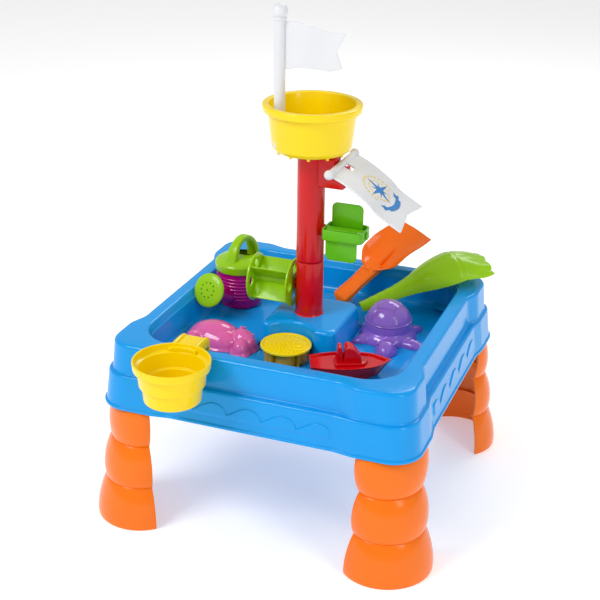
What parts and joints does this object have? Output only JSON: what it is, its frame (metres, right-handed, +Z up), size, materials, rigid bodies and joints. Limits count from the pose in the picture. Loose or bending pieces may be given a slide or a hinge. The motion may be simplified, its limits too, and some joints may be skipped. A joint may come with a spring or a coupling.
{
  "type": "sand and water table",
  "caption": "Square play basin on four half-round legs, with a tipping tower of wheels, a spout sail, a top bucket and flag, and loose sand and water toys.",
  "frame": {"origin": "on the floor, straight under the middle of the tower and the tub", "axes": "+Z up, +X to the right side where the sail hangs, +Y to the back, away from the hanging cup"},
  "size_m": [0.445, 0.5044, 0.635],
  "materials": {
    "tub_blue": "gloss",
    "leg_orange": "gloss",
    "tower_red": "gloss",
    "wheel_lime": "gloss",
    "wheel_green": "gloss",
    "yellow": "gloss",
    "white": "gloss",
    "sail_white": "gloss",
    "can_magenta": "gloss",
    "can_lime": "gloss",
    "clear_pink": "gloss",
    "clear_purple": "gloss",
    "boat_red": "gloss",
    "sieve_amber": "gloss",
    "spade_orange": "gloss",
    "scoop_lime": "gloss"
  },
  "bodies": {
    "table": {"tub": "tub_blue", "center_island": "tub_blue", "leg_front_right": "leg_orange", "leg_front_left": "leg_orange", "leg_back_right": "leg_orange", "leg_back_left": "leg_orange", "tower_lower": "tower_red", "tower_upper": "tower_red", "drum_axle": "wheel_lime", "paddle_axle": "wheel_green"},
    "drum": {"drum_outer_disc": "wheel_lime", "drum_inner_disc": "wheel_lime", "drum_paddles": "wheel_lime"},
    "paddle": {"paddle_wheel": "wheel_green"},
    "bucket": {"top_bucket": "yellow"},
    "flag": {"flag_pole": "white", "flag_banner": "white"},
    "sail_body": {"sail": "sail_white"},
    "cup": {"hanging_cup": "yellow"},
    "can": {"can_body": "can_magenta", "can_lid": "can_lime", "can_spout": "can_magenta", "can_rose": "can_lime"},
    "hippo": {"hippo_mould": "clear_pink"},
    "turtle": {"turtle_mould": "clear_purple"},
    "boat": {"boat_hull": "boat_red", "boat_cabin": "boat_red"},
    "sieve": {"sieve_disc": "yellow", "sieve_base": "sieve_amber"},
    "spade_body": {"spade": "spade_orange"},
    "scoop_body": {"scoop": "scoop_lime"}
  },
  "joints": [
    {"name": "drum_spin", "type": "hinge", "parent": "table", "child": "drum", "pos_m": [0, 0, 0.2745], "axis": [1, 0, 0], "continuous": true},
    {"name": "paddle_spin", "type": "hinge", "parent": "table", "child": "paddle", "pos_m": [0, 0, 0.352], "axis": [1, 0, 0], "continuous": true},
    {"name": "bucket_lift", "type": "slide", "parent": "table", "child": "bucket", "axis": [0, 0, 1], "range_m": [0, 0.06]},
    {"name": "flag_turn", "type": "hinge", "parent": "bucket", "child": "flag", "pos_m": [-0.0305, -0.0317, 0.58], "axis": [0, 0, 1], "continuous": true},
    {"name": "sail_swing", "type": "hinge", "parent": "table", "child": "sail_body", "pos_m": [0.04, 0, 0.4412], "axis": [0, -1, 0], "range_deg": [0, 25]},
    {"name": "cup_lift", "type": "slide", "parent": "table", "child": "cup", "axis": [0, 0, 1], "range_m": [0, 0.06]},
    {"name": "can_lift", "type": "slide", "parent": "table", "child": "can", "axis": [0, 0, 1], "range_m": [0, 0.07]},
    {"name": "hippo_lift", "type": "slide", "parent": "table", "child": "hippo", "axis": [0, 0, 1], "range_m": [0, 0.06]},
    {"name": "turtle_lift", "type": "slide", "parent": "table", "child": "turtle", "axis": [0, 0, 1], "range_m": [0, 0.06]},
    {"name": "boat_lift", "type": "slide", "parent": "table", "child": "boat", "axis": [0, 0, 1], "range_m": [0, 0.06]},
    {"name": "sieve_lift", "type": "slide", "parent": "table", "child": "sieve", "axis": [0, 0, 1], "range_m": [0, 0.06]},
    {"name": "spade_lift", "type": "slide", "parent": "table", "child": "spade_body", "axis": [0, 0, 1], "range_m": [0, 0.06]},
    {"name": "scoop_lift", "type": "slide", "parent": "table", "child": "scoop_body", "axis": [0, 0, 1], "range_m": [0, 0.06]}
  ]
}
